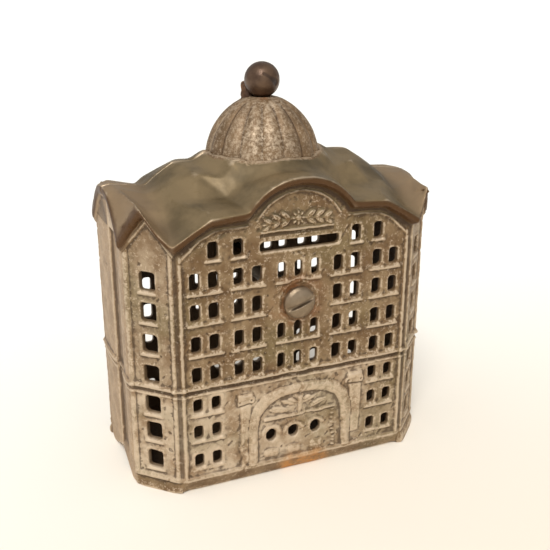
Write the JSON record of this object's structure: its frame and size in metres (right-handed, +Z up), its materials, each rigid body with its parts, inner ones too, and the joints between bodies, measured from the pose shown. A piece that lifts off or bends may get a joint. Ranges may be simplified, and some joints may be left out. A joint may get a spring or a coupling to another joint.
{
  "type": "still bank",
  "caption": "Cast iron money box shaped as a domed bank building, two half shells drawn together by one long screw, with a coin slot under the pediment.",
  "frame": {"origin": "centre of the base, on the surface the bank stands on", "axes": "+X to the right seen from the front, +Y to the back, +Z up; the facade with the coin slot looks along -Y"},
  "size_m": [0.1076, 0.0656, 0.1321],
  "materials": {
    "casting": "worn silvery paint over brown cast iron",
    "screw_steel": "dull, lightly rusted steel",
    "finial_iron": "dark, smooth, handled iron"
  },
  "bodies": {
    "back_half": {"back_shell": "casting", "square_nut": "screw_steel", "finial_ball": "finial_iron"},
    "front_half": {"front_shell": "casting"},
    "screw": {"assembly_screw": "screw_steel"}
  },
  "joints": [
    {"name": "front_slide", "type": "slide", "parent": "back_half", "child": "front_half", "axis": [0, -1, 0], "range_m": [0, 0.0054]},
    {"name": "screw_turn", "type": "hinge", "parent": "front_half", "child": "screw", "pos_m": [0, -0.0296, 0.061], "axis": [0, -1, 0], "range_deg": [0, 1535]}
  ],
  "couplings": [
    {"joint": "screw_turn", "follows": "front_slide", "rad_per_m": 4947.4}
  ]
}
